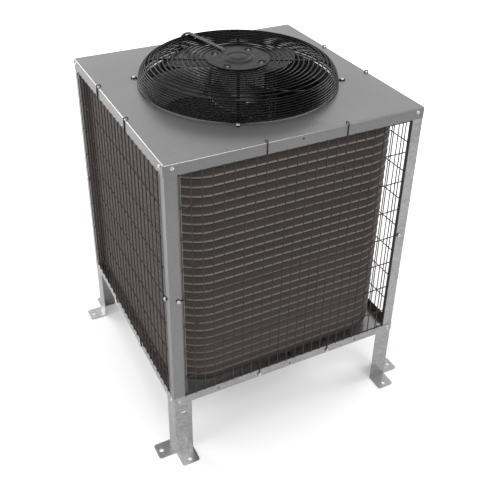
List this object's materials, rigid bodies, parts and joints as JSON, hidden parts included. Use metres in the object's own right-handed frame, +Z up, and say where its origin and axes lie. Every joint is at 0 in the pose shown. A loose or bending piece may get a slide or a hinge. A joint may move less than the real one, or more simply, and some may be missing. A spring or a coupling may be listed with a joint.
{
  "type": "remote condenser",
  "caption": "Air-cooled refrigerant condenser: galvanised cabinet on angle legs, finned coil behind wire guards, and an axial fan that blows up through a domed ring guard.",
  "frame": {"origin": "on the floor under the middle of the cabinet, at the fan's axis", "axes": "+Z up along the fan's axis, +X to the right seen from the front, +Y to the rear panel"},
  "size_m": [0.795, 0.782, 0.9898],
  "materials": {
    "galvanised_steel": "hot-dip zinc, satin with a fine spangle",
    "dark_wire": "dark brown dipped coat, satin",
    "coil_fin": "thin coated fins, dark and matt",
    "copper_tube": "drawn copper, lightly dulled",
    "brass_nut": "machined brass",
    "black_coat": "black powder coat, satin",
    "cast_motor": "die-cast, matt",
    "plain_steel": "machined steel",
    "zinc_screw": "bright zinc plate",
    "lead_sleeve": "grey cable sleeve",
    "rubber": "soft black rubber",
    "gland_plastic": "moulded black",
    "capacitor_case": "smooth pale case",
    "block_plastic": "moulded cream"
  },
  "bodies": {
    "cabinet": {"base_pan": "galvanised_steel", "top_panel": "galvanised_steel", "post_front_left": "galvanised_steel", "post_front_right": "galvanised_steel", "post_rear_right": "galvanised_steel", "post_rear_left": "galvanised_steel", "leg_front_left": "galvanised_steel", "leg_front_right": "galvanised_steel", "leg_rear_right": "galvanised_steel", "leg_rear_left": "galvanised_steel", "rear_panel": "galvanised_steel", "terminal_box": "galvanised_steel", "terminal_box_cover": "galvanised_steel", "coil_end_plate_left": "galvanised_steel", "coil_end_plate_right": "galvanised_steel", "coil_support_front": "galvanised_steel", "coil_support_left": "galvanised_steel", "coil_support_right": "galvanised_steel", "front_guard": "dark_wire", "left_guard": "dark_wire", "right_guard": "dark_wire", "coil_fins": "coil_fin", "return_bends": "copper_tube", "discharge_line": "copper_tube", "liquid_line": "copper_tube", "line_nuts": "brass_nut", "guard_shoulder_rings": "black_coat", "guard_crown_rings": "black_coat", "guard_struts": "black_coat", "motor_plate": "black_coat", "motor_stator": "cast_motor", "stator_core": "plain_steel", "motor_bearings": "plain_steel", "lip_screws": "zinc_screw", "pan_screws": "zinc_screw", "guard_screws": "zinc_screw", "rear_panel_screws": "zinc_screw", "guard_lug_screws": "zinc_screw", "motor_screws": "zinc_screw", "box_cover_screws": "zinc_screw", "leg_bolts": "zinc_screw", "leg_nuts": "zinc_screw", "motor_lead": "lead_sleeve", "panel_grommet": "rubber", "box_grommet": "rubber", "cable_gland": "gland_plastic", "run_capacitor": "capacitor_case", "terminal_block": "block_plastic"},
    "impeller": {"fan_rotor": "black_coat", "motor_shaft": "plain_steel", "fan_blade_1": "black_coat", "fan_blade_2": "black_coat", "fan_blade_3": "black_coat", "fan_blade_4": "black_coat", "fan_blade_5": "black_coat"}
  },
  "joints": [
    {"name": "fan_spin", "type": "hinge", "parent": "cabinet", "child": "impeller", "pos_m": [0, 0, 0.92], "axis": [0, 0, 1], "continuous": true}
  ]
}
